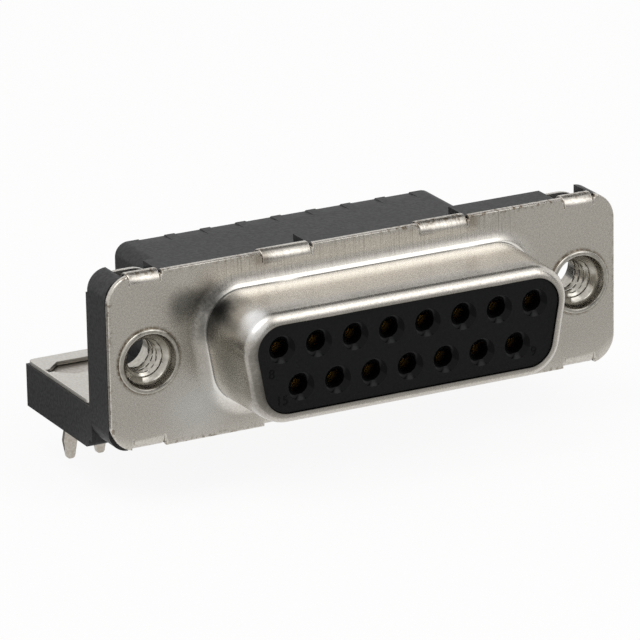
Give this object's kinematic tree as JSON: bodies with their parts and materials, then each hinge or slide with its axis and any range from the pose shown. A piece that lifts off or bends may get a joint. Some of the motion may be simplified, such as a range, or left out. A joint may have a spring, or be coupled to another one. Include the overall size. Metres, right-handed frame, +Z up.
{
  "type": "right-angle d-sub connector",
  "caption": "Right-angle board-mount d-sub socket with metal D-shaped shell, threaded inserts, grounded feet, snap-in boardlocks and bent contact tails.",
  "frame": {"origin": "on the board's top face, below the middle of the flange's front face", "axes": "+Z up from the board, -Y the way the mating plug leaves, +X to the right as seen from the front"},
  "size_m": [0.0392, 0.0201, 0.0165],
  "materials": {
    "shell_tin": "matt tin plate over drawn steel, fine grain with faint draw marks",
    "insulator_black": "black glass-filled thermoplastic, satin",
    "housing_black": "black glass-filled thermoplastic, fine matt moulded texture",
    "insert_zinc": "bright plated",
    "strap_tin": "matt tin plate",
    "lock_tin": "matt tin plate",
    "contact_gold": "gold plated copper alloy"
  },
  "bodies": {
    "root": {"front_shell": "shell_tin", "insulator": "insulator_black", "rear_housing": "housing_black", "threaded_insert_left": "insert_zinc", "threaded_insert_right": "insert_zinc", "ground_strap_left": "strap_tin", "ground_strap_right": "strap_tin", "boardlock_left": "lock_tin", "boardlock_right": "lock_tin", "contact_01": "contact_gold", "contact_02": "contact_gold", "contact_03": "contact_gold", "contact_04": "contact_gold", "contact_05": "contact_gold", "contact_06": "contact_gold", "contact_07": "contact_gold", "contact_08": "contact_gold", "contact_09": "contact_gold", "contact_10": "contact_gold", "contact_11": "contact_gold", "contact_12": "contact_gold", "contact_13": "contact_gold", "contact_14": "contact_gold", "contact_15": "contact_gold"}
  },
  "joints": []
}
